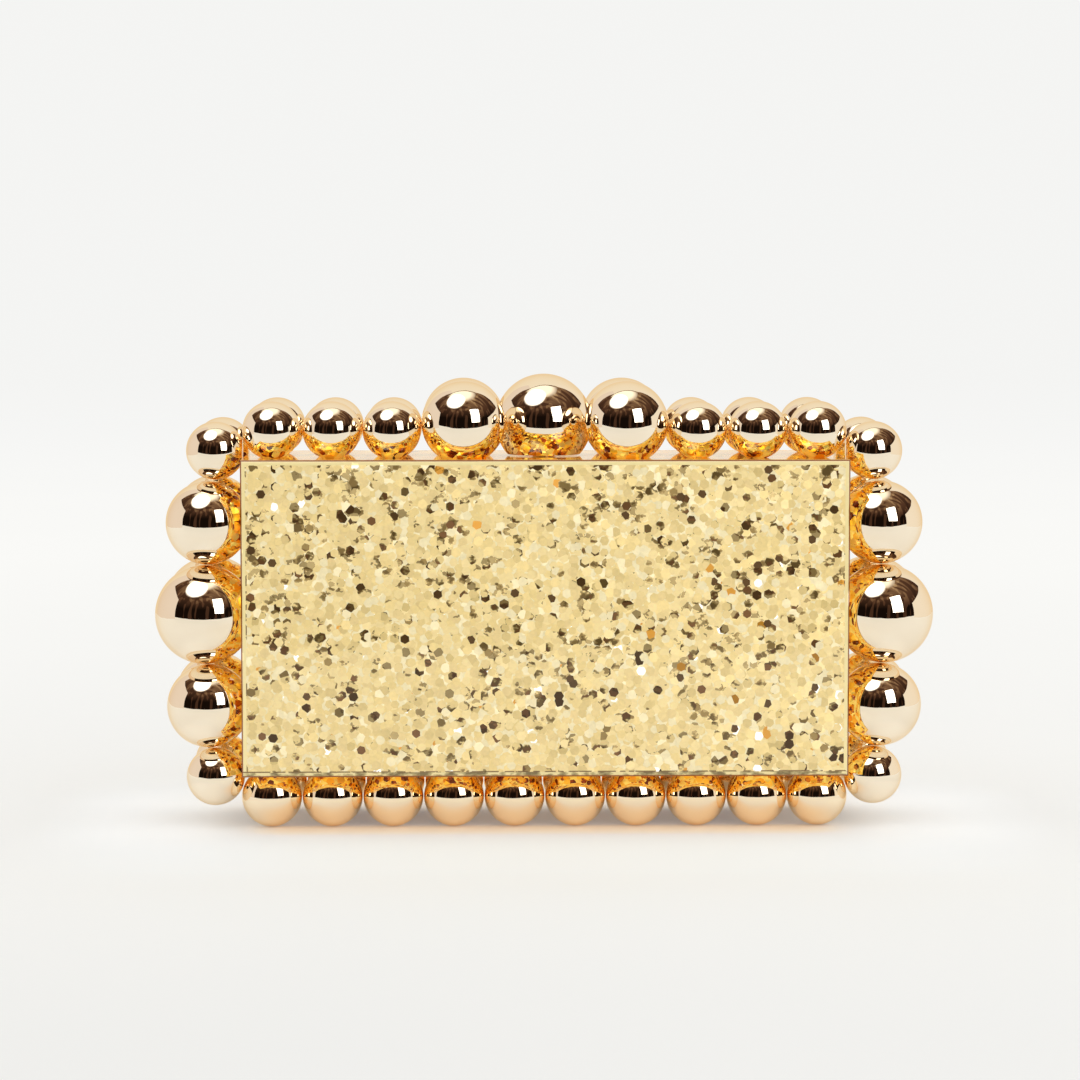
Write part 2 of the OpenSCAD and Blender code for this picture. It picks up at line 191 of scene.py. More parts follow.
def set_sockets(node, values):
    for socket, value in values.items():
        node.inputs[socket].default_value = value


def bump(tree, shader, height, strength, distance):
    inputs = {"Height": height, "Strength": strength, "Distance": distance}
    link(tree, shader, {"Normal": add(tree, "ShaderNodeBump", inputs).outputs["Normal"]})


# ---- glitter acrylic ----

# Distance between flakes in a layer in mm, and a flake's half width as a share of it
FLAKE_SPACING = 2.8
FLAKE_APOTHEM = 0.42
# The smallest flake as a share of the largest, and how far flakes stray from even rows
FLAKE_LEAST = 0.8
FLAKE_STRAY = 0.75
# The most that a flake is turned, in radians
FLAKE_TURN = 60.0
# How many layers of flakes, and how far each is moved from the one below, in flake spacings
FLAKE_LAYERS = 8
LAYER_SHIFT = (7.31, 3.77, 0.0)
# The layers nearest the surface, where dark flakes are as many as the share says. In the layers
# below them, a flake's place on the colour scale is squeezed towards the pale end
TOP_LAYERS = 2
LOWER_SCALE, LOWER_START = 0.48, 0.52
# Flakes in the walls are drawn larger than in the face panels, by one over this
WALL_SHRINK = 0.8
# How much longer than they are wide the flakes look on the cut edges of a sheet
EDGE_STRETCH = 4.0
# How far apart in mm the patterns of sides that face different ways start
SIDES_APART = (37.0, 61.0, 0.0)
# Size in mm of the patches with more and with fewer dark clusters, and how much they differ
PATCH_SIZE = 30.0
PATCH_DEPTH = 0.035
# Share of the dark flakes left at the foot of a face panel. Fewer dark flakes below paint the panel
# paler at its foot and darker at its top, a painted shade as if the top mirrored the dim room above
PAINTED_FOOT_SHARE = 0.55
# Shares of stray orange flakes and of flakes painted white and made to glow, as painted glints
ORANGE_SHARE = 0.005
GLINT_SHARE = 0.006
# Distances in mm from the parting line between which a wall's flakes are painted amber: painted
# light and shade bounced off the gold balls that stand beside that part of the walls
BOUNCE_START, BOUNCE_FULL = 3.0, 8.5
# Depth in mm of the bevel round the face panels, and widths of the clear rim inside it and of
# the dark outline at its edge, a painted shade where the bevel mirrors the shaded crevice beside it
BEVEL = 0.6
RIM_WIDTH = 1.3
OUTLINE_SHADE_WIDTH = 0.36
# Place and width in mm of the dashes where the flakes end
DASH_INSET, DASH_WIDTH = 1.4, 0.3
ACRYLIC_IOR = 1.49
# How the flakes lie and shine in the two kinds of sheet. Sizes are in mm
FACE_LOOK = {
    "cluster": 6.0, "least_dark": 0.10, "most_dark": 1.0, "tilt": 0.6, "metal": 0.2,
    "tint": (1.0, 0.97, 0.9, 1), "coat": 0.6, "coat_roughness": 0.03,
}
WALL_LOOK = {
    "cluster": 3.2, "least_dark": 0.16, "most_dark": 0.95, "tilt": 0.9, "metal": 0.8,
    "tint": (1.0, 0.62, 0.22, 1), "coat": 1.0, "coat_roughness": 0.02,
}
# Colours of the flakes, each with the place on a 0 to 1 scale where its share starts
FACE_PALE = [
    (0.00, rgb(232, 205, 136)), (0.12, rgb(243, 216, 148)), (0.30, rgb(250, 223, 157)),
    (0.55, rgb(255, 230, 165)), (0.78, rgb(247, 220, 150)), (0.92, rgb(253, 237, 190)),
]
FACE_DARK = [
    (0.00, rgb(100, 72, 38)), (0.17, rgb(132, 92, 54)), (0.32, rgb(122, 98, 54)),
    (0.46, rgb(170, 142, 86)), (0.68, rgb(208, 182, 124)),
]
# Amber colours painted where the gold balls bounce light onto the walls and the panels' cut edges:
# pale for painted bounce light, dark red-brown for painted shade in the crevices
BOUNCE_PALE = [
    (0.00, rgb(214, 130, 18)), (0.20, rgb(244, 172, 34)), (0.50, rgb(255, 202, 62)),
    (0.80, rgb(255, 228, 118)),
]
BOUNCE_DARK = [
    (0.00, rgb(98, 32, 6)), (0.35, rgb(140, 56, 8)), (0.60, rgb(182, 92, 14)),
    (0.80, rgb(214, 134, 24)),
]


def flake_group():
    """One layer of hexagonal flakes, each at a random place and angle, over what is below."""
    tree = bpy.data.node_groups.new("flake_layer", "ShaderNodeTree")
    sockets = [
        ("Point", "INPUT", "NodeSocketVector"), ("Shift", "INPUT", "NodeSocketVector"),
        ("Below", "INPUT", "NodeSocketColor"), ("Rim below", "INPUT", "NodeSocketFloat"),
        ("Id", "OUTPUT", "NodeSocketColor"), ("Rim", "OUTPUT", "NodeSocketFloat"),
    ]
    for name, way, kind in sockets:
        tree.interface.new_socket(name, in_out=way, socket_type=kind)
    given = add(tree, "NodeGroupInput").outputs
    result = add(tree, "NodeGroupOutput").inputs
    point = vectors(tree, "ADD", scaled(tree, given["Point"], 1 / FLAKE_SPACING), given["Shift"])
    places = {"Vector": point, "Scale": 1.0, "Randomness": FLAKE_STRAY}
    cells = add(tree, "ShaderNodeTexVoronoi", places, voronoi_dimensions="2D")
    colour = cells.outputs["Color"]
    channels = add(tree, "ShaderNodeSeparateColor", {"Color": colour}).outputs
    local = vectors(tree, "SUBTRACT", point, cells.outputs["Position"])
    turn = product(tree, channels["Green"], FLAKE_TURN)
    turned = add(
        tree, "ShaderNodeVectorRotate", {"Vector": local, "Angle": turn}, rotation_type="Z_AXIS"
    ).outputs["Vector"]
    parts = xyz(tree, vectors(tree, "ABSOLUTE", turned))
    slanted = maths(
        tree, "ADD", product(tree, parts["X"], math.cos(math.radians(60))),
        product(tree, parts["Y"], math.sin(math.radians(60))),
    )
    reach = maths(tree, "MAXIMUM", parts["X"], slanted)
    least = FLAKE_LEAST * FLAKE_APOTHEM
    size = map_range(tree, channels["Blue"], 0.0, 1.0, least, FLAKE_APOTHEM)
    inside = maths(tree, "LESS_THAN", reach, size)
    near_rim = map_range(tree, maths(tree, "SUBTRACT", size, reach), 0.05, 0.0)
    tree.links.new(mix(tree, inside, given["Below"], colour), result["Id"])
    tree.links.new(mix_numbers(tree, inside, given["Rim below"], near_rim), result["Rim"])
    return tree


def flat_point(tree, sheet_axis):
    """A place on a sheet's face as two coordinates in mm. On the cut edges of the sheet, flakes
    lie edge-on, so its thickness is stretched and they show as short dashes."""
    stretch = [1.0, 1.0, 1.0]
    stretch["XYZ".index(sheet_axis)] = EDGE_STRETCH
    place = xyz(tree, vectors(tree, "MULTIPLY", here_in_mm(tree), stretch))
    normal = surface_normal(tree)
    facing = xyz(tree, vectors(tree, "ABSOLUTE", normal))

    def plane(first, second):
        parts = {"X": place[first], "Y": place[second]}
        return add(tree, "ShaderNodeCombineXYZ", parts).outputs[0]

    on_side = maths(tree, "GREATER_THAN", facing["X"], 0.6)
    on_face = maths(tree, "GREATER_THAN", facing["Y"], 0.6)
    flat = mix_vectors(tree, on_side, plane("X", "Y"), plane("Y", "Z"))
    flat = mix_vectors(tree, on_face, flat, plane("X", "Z"))
    spread = vectors(tree, "ADD", flat, vectors(tree, "MULTIPLY", normal, SIDES_APART))
    step = add(tree, "ShaderNodeCombineXYZ", {"X": xyz(tree, normal)["Y"]}).outputs[0]
    return vectors(tree, "ADD", spread, step)


def near_outline(tree, panel, width):
    """1 on the outer face of a face panel within a width, in mm, of its outline."""
    low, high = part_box(panel)
    half = (high - low) / 2 / MM
    place = here_in_mm(tree)
    centred = vectors(tree, "SUBTRACT", place, tuple((low + high) / 2 / MM))
    parts = xyz(tree, vectors(tree, "ABSOLUTE", centred))
    across = maths(tree, "GREATER_THAN", parts["X"], half.x - width)
    along = maths(tree, "GREATER_THAN", parts["Z"], half.z - width)
    away = maths(tree, "ABSOLUTE", xyz(tree, place)["Y"])
    outer = maths(tree, "GREATER_THAN", away, max(abs(low.y), abs(high.y)) / MM - BEVEL)
    return product(tree, maths(tree, "MAXIMUM", across, along), outer)


def rim_marks(tree, panel):
    """Short dark dashes where the flakes end, along the lower and left edges of a face panel."""
    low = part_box(panel)[0]
    place = here_in_mm(tree)
    parts = xyz(tree, place)
    broken = noise_at(tree, scaled(tree, place, 0.4), 1.0, detail=3.0)
    dashes = []
    for axis, edge, gaps in (("X", low.x, 0.56), ("Z", low.z, 0.46)):
        on_line = maths(tree, "COMPARE", parts[axis], edge / MM + DASH_INSET, DASH_WIDTH / 2)
        dashes.append(product(tree, on_line, maths(tree, "GREATER_THAN", broken, gaps)))
    return maths(tree, "MAXIMUM", *dashes)


def stacked_flakes(tree, point, flakes):
    """All the layers of flakes: each place's flake as a random colour, and how near its rim is."""
    flake_id = (0.0, 0.3, 0.5, 1.0)
    rim = 0.0
    for layer in range(FLAKE_LAYERS):
        shift = [layer * step for step in LAYER_SHIFT]
        inputs = {"Point": point, "Shift": shift, "Below": flake_id, "Rim below": rim}
        flake = add(tree, "ShaderNodeGroup", inputs, node_tree=flakes).outputs
        flake_id, rim = flake["Id"], flake["Rim"]
        if layer < FLAKE_LAYERS - TOP_LAYERS:
            parts = add(tree, "ShaderNodeSeparateColor", {"Color": flake_id}).outputs
            paler = maths(tree, "MULTIPLY_ADD", parts["Red"], LOWER_SCALE, LOWER_START)
            channels = {"Red": paler, "Green": parts["Green"], "Blue": parts["Blue"]}
            flake_id = add(tree, "ShaderNodeCombineColor", channels).outputs[0]
    return flake_id, rim


def dark_share(tree, point, look):
    """How many of the flakes are dark at a place: few nearly everywhere, and most in clusters."""
    skewed = vectors(tree, "MULTIPLY", point, (1.0, 1.25, 1.0))
    cluster = noise_at(tree, skewed, 1 / look["cluster"], detail=3.0, rough=0.6)
    patch = noise_at(tree, point, 1 / PATCH_SIZE, detail=0.0)
    patch = map_range(tree, patch, 0.3, 0.7, -PATCH_DEPTH, PATCH_DEPTH)
    shifted = maths(tree, "ADD", cluster, patch)
    return eased(tree, shifted, 0.485, 0.655, look["least_dark"], look["most_dark"])


def painted_paler_foot(tree, panel):
    """Thins out the dark flakes towards the lower edge of a face panel: painted shade that leaves
    the top darker than the foot.
    """
    low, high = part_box(panel)
    height = xyz(tree, here_in_mm(tree))["Z"]
    return map_range(tree, height, low.z / MM, high.z / MM, PAINTED_FOOT_SHARE, 1.0)


def rim_band(tree, panel):
    """Colour of the clear rim of a face panel, with olive streaks at its foot where the flakes
    show edge-on through the lower edge."""
    place = here_in_mm(tree)
    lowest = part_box(panel)[0].z / MM
    at_foot = maths(tree, "LESS_THAN", xyz(tree, place)["Z"], lowest + RIM_WIDTH)
    drawn_out = vectors(tree, "MULTIPLY", place, (0.30, 0.0, 0.55))
    olive = ramp(tree, noise_at(tree, drawn_out, 1.0, detail=3.0), [
        (0.40, rgb(126, 108, 66)), (0.50, rgb(182, 164, 112)), (0.58, rgb(240, 222, 162)),
    ])
    return mix(tree, at_foot, rgb(248, 229, 168), olive)


def flake_colour(tree, kind, share, pale, dark):
    """A flake's colour from one of two palettes: kind runs from 0 to 1, and below share is dark."""
    is_dark = maths(tree, "LESS_THAN", kind, share)
    depth = maths(tree, "DIVIDE", kind, share)
    paler = ramp(tree, kind, pale, "CONSTANT")
    return mix(tree, is_dark, paler, ramp(tree, depth, dark, "CONSTANT"))


def painted_amber_bounce(tree, panel):
    """Where amber light and shade from the gold balls is painted on the flakes: on the cut edges of
    a face panel, and on a wall beside the balls.
    """
    if panel:
        turned = xyz(tree, vectors(tree, "ABSOLUTE", surface_normal(tree)))["Y"]
        return maths(tree, "LESS_THAN", turned, 0.5)
    away = maths(tree, "ABSOLUTE", xyz(tree, here_in_mm(tree))["Y"])
    return eased(tree, away, BOUNCE_START, BOUNCE_FULL)


def uneven_shade(tree, point, rim, is_dark):
    """Broad clouds, a fine mottle, and a darker rim round each flake."""
    cloud = map_range(tree, noise_at(tree, point, 0.12), 0.3, 0.7, 0.96, 1.03)
    mottle = map_range(tree, noise_at(tree, point, 1.1, detail=3.0), 0.3, 0.7, 0.94, 1.04)
    rim_shade = map_range(tree, rim, 0.0, 1.0, 1.0, mix_numbers(tree, is_dark, 0.955, 0.80))
    return product(tree, cloud, mottle, rim_shade)


def glitter_material(name, flakes, sheet_axis, look, panel=None):
    """Acrylic filled with flakes, with painted amber bounce light, a painted glow and painted
    glints. A face panel also has a clear rim and a dark outline of painted shade.
    """
    material, tree, shader = new_material(name)
    point = flat_point(tree, sheet_axis)
    if not panel:
        point = scaled(tree, point, WALL_SHRINK)
    flake_id, rim = stacked_flakes(tree, point, flakes)
    channels = add(tree, "ShaderNodeSeparateColor", {"Color": flake_id}).outputs
    kind, lot = channels["Red"], channels["Green"]
    share = dark_share(tree, point, look)
    if panel:
        # painted shade: darker at the top of a face panel, paler at its foot
        share = product(tree, share, painted_paler_foot(tree, panel))
    is_dark = maths(tree, "LESS_THAN", kind, share)
    # painted bounce light and shade: amber colours and a stronger glow near the gold balls
    amber_bounce = painted_amber_bounce(tree, panel)
    golden = flake_colour(tree, kind, share, FACE_PALE, FACE_DARK)
    colour = mix(tree, amber_bounce, golden, flake_colour(tree, kind, share, BOUNCE_PALE, BOUNCE_DARK))
    colour = shaded(tree, colour, uneven_shade(tree, point, rim, is_dark))
    stray = maths(tree, "GREATER_THAN", lot, 1 - ORANGE_SHARE)
    colour = mix(tree, stray, colour, rgb(232, 164, 58))
    # painted glints: a few flakes are painted white and glow
    painted_glint = maths(tree, "COMPARE", lot, 0.5, GLINT_SHARE / 2)
    colour = mix(tree, painted_glint, colour, rgb(255, 253, 246))
    metallic = mix_numbers(tree, is_dark, look["metal"], max(look["metal"], 0.5))
    roughness = mix_numbers(tree, is_dark, 0.45 - 0.2 * look["metal"], 0.25)
    facing = add(tree, "ShaderNodeNewGeometry").outputs["Normal"]
    tilt = scaled(tree, vectors(tree, "SUBTRACT", flake_id, (0.5, 0.5, 0.5)), look["tilt"])
    normal = vectors(tree, "NORMALIZE", vectors(tree, "ADD", facing, tilt))
    if panel:
        edge = near_outline(tree, panel, RIM_WIDTH)
        colour = mix(tree, edge, colour, rim_band(tree, panel))
        colour = mix(tree, rim_marks(tree, panel), colour, rgb(128, 100, 58))
        # painted shade: a dark amber outline where the bevel mirrors the shaded crevice beside the
        # panel
        colour = mix(tree, near_outline(tree, panel, OUTLINE_SHADE_WIDTH), colour, rgb(140, 74, 16))
        metallic = mix_numbers(tree, edge, metallic, 0.0)
        roughness = mix_numbers(tree, edge, roughness, 0.12)
        normal = mix_vectors(tree, edge, normal, facing)
    # painted light: the glitter glows faintly, the amber parts more and the glint flakes most
    glow = mix_numbers(tree, painted_glint, mix_numbers(tree, amber_bounce, 0.025, 0.26), 0.35)
    link(tree, shader, {
        "Base Color": colour, "Emission Color": colour, "Emission Strength": glow,
        "Metallic": metallic, "Roughness": roughness, "Normal": normal,
    })
    set_sockets(shader, {
        "IOR": ACRYLIC_IOR, "Coat IOR": ACRYLIC_IOR, "Specular Tint": look["tint"],
        "Coat Weight": look["coat"], "Coat Roughness": look["coat_roughness"],
    })
    return material


# ---- metals and cloth ----

# How a plated surface seen edge-on colours what it mirrors
GRAZING_TINT = (0.94, 0.80, 0.62, 1)
# Darkest and palest tones of the plating, and of the bottom balls', painted warmer as a painted
# reflection of the warm light on the table beneath them
CHAMPAGNE = (0.955, 0.835, 0.655, 1), (0.965, 0.850, 0.675, 1)
WARM_REFLECTED_TONES = (0.97, 0.805, 0.575, 1), (0.98, 0.820, 0.595, 1)


def plated_material(name, darkest, palest):
    """Mirror plating on moulded plastic: very smooth, with faint handling marks."""
    material, tree, shader = new_material(name)
    point = here_in_mm(tree)
    smudge = noise_at(tree, point, 0.16, detail=3.0)
    link(tree, shader, {
        "Base Color": ramp(tree, smudge, [(0.35, darkest), (0.65, palest)]),
        "Roughness": map_range(tree, smudge, 0.4, 0.75, 0.012, 0.045),
    })
    set_sockets(shader, {"Metallic": 1.0, "Specular Tint": GRAZING_TINT})
    bump(tree, shader, noise_at(tree, point, 0.35, detail=1.0), 0.04, 0.0006)
    return material


def gilt_material():
    """Polished gold-plated brass with fine lengthways polishing lines and a cloudy tone."""
    material, tree, shader = new_material("gilt_brass")
    point = here_in_mm(tree)
    lines = noise_at(tree, vectors(tree, "MULTIPLY", point, (0.6, 9.0, 9.0)), 1.0, detail=4.0)
    cloud = noise_at(tree, point, 0.3)
    link(tree, shader, {
        "Base Color": ramp(tree, cloud, [(0.3, rgb(226, 184, 112)), (0.7, rgb(244, 212, 148))]),
        "Roughness": map_range(tree, lines, 0.3, 0.7, 0.14, 0.30),
    })
    set_sockets(shader, {"Metallic": 1.0})
    bump(tree, shader, lines, 0.15, 0.00004)
    return material


def steel_material():
    """Zinc-plated steel: a slightly blotched grey with a fine grain."""
    material, tree, shader = new_material("zinc_plated_steel")
    point = here_in_mm(tree)
    blotch = noise_at(tree, point, 0.8, detail=4.0)
    link(tree, shader, {
        "Base Color": ramp(tree, blotch, [(0.3, rgb(178, 179, 184)), (0.7, rgb(214, 214, 214))]),
        "Roughness": map_range(tree, blotch, 0.3, 0.7, 0.22, 0.42),
    })
    set_sockets(shader, {"Metallic": 1.0})
    bump(tree, shader, noise_at(tree, point, 14.0), 0.1, 0.00003)
    return material


def flock_material():
    """Short-pile flocking: a soft mottled nap with a grazing sheen."""
    material, tree, shader = new_material("gold_flocking")
    point = here_in_mm(tree)
    nap = noise_at(tree, point, 0.05, detail=3.0)
    pile = noise_at(tree, point, 2.2, detail=4.0, rough=0.75)
    soft = ramp(tree, nap, [(0.35, rgb(212, 178, 124)), (0.65, rgb(224, 192, 138))])
    fibre = ramp(tree, pile, [(0.35, (0.70, 0.70, 0.70, 1)), (0.65, (1, 1, 1, 1))])
    link(tree, shader, {"Base Color": multiplied(tree, soft, fibre)})
    set_sockets(shader, {
        "Roughness": 0.95, "Sheen Weight": 0.6, "Sheen Roughness": 0.4,
        "Sheen Tint": (1.0, 0.92, 0.75, 1),
    })
    bump(tree, shader, pile, 0.7, 0.0003)
    return material


def paint(node_names, material):
    for name in node_names:
        mesh = frame["nodes"][name].data
        mesh.materials.clear()
        mesh.materials.append(material)


# ---- balls ----

# Number of steps down a ball's section, and round the ball
BALL_STEPS, BALL_SIDES = 40, 64
# Edges sharper than this, in degrees, stay sharp in the shading
SHARP_ANGLE = 35
# Corners of a CAD solid nearer than this, in metres, are one corner
SAME_PLACE = 1e-7


def add_to_scene(name, data):
    obj = bpy.data.objects.new(name, data)
    bpy.context.scene.collection.objects.link(obj)
    return obj


def new_object(name, mesh_data, material):
    mesh = bpy.data.meshes.new(name)
    mesh_data.normal_update()
    mesh_data.to_mesh(mesh)
    mesh_data.free()
    for face in mesh.polygons:
        face.use_smooth = True
    mesh.set_sharp_from_angle(angle=math.radians(SHARP_ANGLE))
    mesh.materials.append(material)
    return add_to_scene(name, mesh)


def separate_solids(node):
    """The lowest and highest corners of each separate solid in a CAD node."""
    mesh_data = bmesh.new()
    mesh_data.from_mesh(frame["nodes"][node].data)
    bmesh.ops.remove_doubles(mesh_data, verts=mesh_data.verts, dist=SAME_PLACE)
    left = set(mesh_data.verts)
    boxes = []
    while left:
        first = left.pop()
        group, edge = [first], [first]
        while edge:
            vert = edge.pop()
            for near in (e.other_vert(vert) for e in vert.link_edges):
                if near in left:
                    left.remove(near)
                    group.append(near)
                    edge.append(near)
        points = [v.co for v in group]
        low = Vector(min(p[i] for p in points) for i in range(3))
        high = Vector(max(p[i] for p in points) for i in range(3))
        boxes.append((low, high))
    mesh_data.free()
    return sorted(boxes, key=lambda pair: tuple(pair[0]))


def ball_place(low, high, seat):
    """Centre, radius, direction from seat to pole, and distance from seat to centre of a ball."""
    size = high - low
    if seat == "inward":
        outward = Vector((math.copysign(1, (low + high).x), 0, 0))
        radius, along = max(size.y, size.z) / 2, 0
    else:
        outward = Vector((0, 0, 1 if seat == "down" else -1))
        radius, along = max(size.x, size.y) / 2, 2
    centre = (low + high) / 2
    pole = high[along] if outward[along] > 0 else low[along]
    centre[along] = pole - outward[along] * radius
    return centre, radius, outward, size[along] - radius


def ball_profile(radius, seat, bored):
    """Half of a ball's section as (distance from the axis, height above the centre)."""
    flat_angle = math.acos(-seat / radius)
    arc = [flat_angle * i / BALL_STEPS for i in range(BALL_STEPS + 1)]
    points = [(radius * math.sin(a), radius * math.cos(a)) for a in arc]
    if bored:
        points += [(BORE_RADIUS, -seat), (BORE_RADIUS, BORE_DEPTH - seat), (0, BORE_DEPTH - seat)]
    else:
        points += [(0, -seat)]
    return points


def add_ball(mesh_data, centre, radius, outward, seat, bored):
    """Turns the section round the line from the ball's seat to its pole."""
    first = outward.orthogonal().normalized()
    second = outward.cross(first)
    angles = [2 * math.pi * i / BALL_SIDES for i in range(BALL_SIDES)]
    ways = [math.cos(a) * first + math.sin(a) * second for a in angles]
    rings = []
    for reach, height in ball_profile(radius, seat, bored):
        middle = centre + outward * height
        points = [middle + reach * way for way in ways] if reach > SAME_PLACE else [middle]
        rings.append([mesh_data.verts.new(point) for point in points])
    for upper, lower in zip(rings, rings[1:]):
        for i in range(BALL_SIDES):
            j = (i + 1) % BALL_SIDES
            pairs = ((upper, i), (lower, i), (lower, j), (upper, j))
            corners = [ring[place % len(ring)] for ring, place in pairs]
            mesh_data.faces.new(list(dict.fromkeys(corners)))


def make_balls(node, seat, material, body):
    """Replaces a node of balls with finer ones. Only the corner balls have no screw hole."""
    mesh_data = bmesh.new()
    for low, high in separate_solids(node):
        centre, radius, outward, distance = ball_place(low, high, seat)
        add_ball(mesh_data, centre, radius, outward, distance, "corner" not in node)
    balls = new_object(node + "_plated", mesh_data, material)
    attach(balls, body)
    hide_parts(node)


# ---- lining ----

LINING_THICK = 0.8 * MM
# Radius of the tray's corners, the least it may be on the floor, and radius round the floor
LINING_CORNER, LEAST_CORNER = 4 * MM, 0.4 * MM
LINING_FILLET = 3 * MM
# A quarter turn is made in so many steps of so many degrees
CORNER_STEPS, CORNER_STEP = 6, 15
# How far past the lining, towards the parting line, the table is left out
LINING_GAP = 1.5 * MM
# The cut-out in the top of each lining, for the clasp: half its width, and how deep it reaches
NOTCH_HALF, NOTCH_DEPTH = 13.5 * MM, 16 * MM


def rounded_outline(low, high, inset):
    """Points round a rectangle with round corners in the X-Z plane, starting at the top left."""
    corner = max(LINING_CORNER - inset, LEAST_CORNER)
    left, right, foot, top = low.x + inset, high.x - inset, low.z + inset, high.z - inset
    points = []
    corners = [
        (right - corner, top - corner, 90), (right - corner, foot + corner, 0),
        (left + corner, foot + corner, -90), (left + corner, top - corner, -180),
    ]
    straights = [
        [(x, top) for x in (-2 * NOTCH_HALF, -NOTCH_HALF, 0, NOTCH_HALF, 2 * NOTCH_HALF)],
        [(right, foot + (top - foot) * share) for share in (0.75, 0.5, 0.25)],
        [(right + (left - right) * share, foot) for share in (0.2, 0.4, 0.6, 0.8)],
        [(left, foot + (top - foot) * share) for share in (0.25, 0.5, 0.75)],
    ]
    for straight, (x, z, start) in zip(straights, corners):
        points += straight
        for i in range(CORNER_STEPS + 1):
            angle = math.radians(start - CORNER_STEP * i)
            points.append((x + corner * math.cos(angle), z + corner * math.sin(angle)))
    return points


def make_lining(half, material, body):
    """A flocked tray with rounded corners: rings from its lip to its floor, then thickened."""
    low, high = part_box(f"{half}_lining")
    way = -1 if half == "front" else 1
    wall = Vector.Fill(3, LINING_THICK)
    lip = min(abs(low.y), abs(high.y))
    floor = max(abs(low.y), abs(high.y)) - LINING_THICK
    levels = [(lip, 0), (lip + 3 * MM, 0), (lip + 8 * MM, 0), (NOTCH_DEPTH, 0)]
    for i in range(CORNER_STEPS + 1):
        angle = math.radians(CORNER_STEP * i)
        drop, inset = LINING_FILLET * math.sin(angle), LINING_FILLET * (1 - math.cos(angle))
        levels.append((floor - LINING_FILLET + drop, inset))
    levels += [(floor, inset) for inset in (6 * MM, 12 * MM, 20 * MM, 30 * MM)]
    mesh_data = bmesh.new()
    rings = []
    for depth, inset in levels:
        outline = rounded_outline(low + wall, high - wall, inset)
        rings.append([mesh_data.verts.new((x, way * depth, z)) for x, z in outline])
    for number, (outer, inner) in enumerate(zip(rings, rings[1:])):
        for i in range(len(outer)):
            j = (i + 1) % len(outer)
            in_notch = levels[number + 1][0] <= NOTCH_DEPTH and i in (1, 2)
            if not in_notch:
                mesh_data.faces.new((outer[i], outer[j], inner[j], inner[i]))
    mesh_data.faces.new(rings[-1])
    loose = [v for v in mesh_data.verts if not v.link_faces]
    bmesh.ops.delete(mesh_data, geom=loose, context="VERTS")
    bmesh.ops.recalc_face_normals(mesh_data, faces=mesh_data.faces)
    tray = new_object(f"{half}_lining_tray", mesh_data, material)
    thicken = tray.modifiers.new("thickness", "SOLIDIFY")
    thicken.thickness = LINING_THICK
    thicken.offset = 1 if facing_out(tray) else -1
    thicken.use_even_offset = True
    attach(tray, body)
    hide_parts(f"{half}_lining")


def facing_out(tray):
    """Whether the faces of a tray point away from its inside."""
    middle = sum((Vector(corner) for corner in tray.bound_box), Vector()) / 8
    foot = min(tray.data.polygons, key=lambda face: face.center.z)
    return (foot.center - middle).dot(foot.normal) > 0


# ---- stage ----

# The camera's place in metres, its dip below level and turn to the right in degrees, and its
# lens and the width of its sensor in mm
CAMERA_PLACE = (-0.0198, -0.900, 0.1417)
CAMERA_DIP, CAMERA_TURN = 4.367, 1.2
LENS, SENSOR_WIDTH = 115.2, 36
# Balls mirror balls, so a ray may bounce off this many glossy surfaces
GLOSSY_BOUNCES = 10
# The point that the lights and softboxes face
BAG_MIDDLE = Vector((0, 0, 0.06))
# Azimuth, elevation and distance of the softboxes, with a light at each
ROUND_PLACE = (-40, 62, 1.25)
TALL_PLACE = (33, 23, 0.82)
SOFTBOX_WHITE = (1.0, 0.99, 0.97, 1)
SOFTBOX_STRENGTH = 3.5
BACKDROP = (0.908, 0.908, 0.893, 1)
ROOM_RADIUS = 2.4
# Places of the cards in metres: how far out the side cards stand, where they start and end, the
# top of the rear cards, and the height of the pale patch of ceiling
CARD_X, CARD_FRONT, CARD_BACK, CARD_TOP, CEILING = 0.56, -0.20, 0.6, 1.5, 1.52
# Distances from its middle within which the round softbox is even, and where it ends
ROUND_CORE, ROUND_REACH = 0.34, 0.54
# Widths and heights of the softboxes' cards
ROUND_SIZE, TALL_SIZE = (1.36, 1.36), (0.34, 0.50)
# The table's edge nearest the viewer as reflections see it, and how far it reaches elsewhere
TABLE_EDGE, TABLE_REACH = -0.46, 4.0


def glossy_only(obj):
    """Shows an object in reflections and nowhere else."""
    obj.visible_camera = obj.visible_diffuse = obj.visible_shadow = False
    obj.visible_transmission = obj.visible_volume_scatter = False


def emitter(name, colour, strength):
    """A material that only gives out light, with its tree and its glow and output nodes."""
    material = bpy.data.materials.new(name)
    material.use_nodes = True
    tree = material.node_tree
    tree.nodes.clear()
    glow = add(tree, "ShaderNodeEmission", {"Color": colour, "Strength": strength})
    out = add(tree, "ShaderNodeOutputMaterial", {"Surface": glow.outputs[0]})
    return material, tree, glow, out


def card(name, corners, material):
    mesh = bpy.data.meshes.new(name)
    mesh.from_pydata([tuple(c) for c in corners], [], [tuple(range(len(corners)))])
    mesh.materials.append(material)
    obj = add_to_scene(name, mesh)
    return obj


def towards(azimuth, elevation, distance):
    """A point at a distance from the bag. Azimuth 0 is in front of it, and 90 to its right."""
    turn, lift = math.radians(azimuth), math.radians(elevation)
    flat = distance * math.cos(lift)
    step = Vector((flat * math.sin(turn), -flat * math.cos(turn), distance * math.sin(lift)))
    return BAG_MIDDLE + step


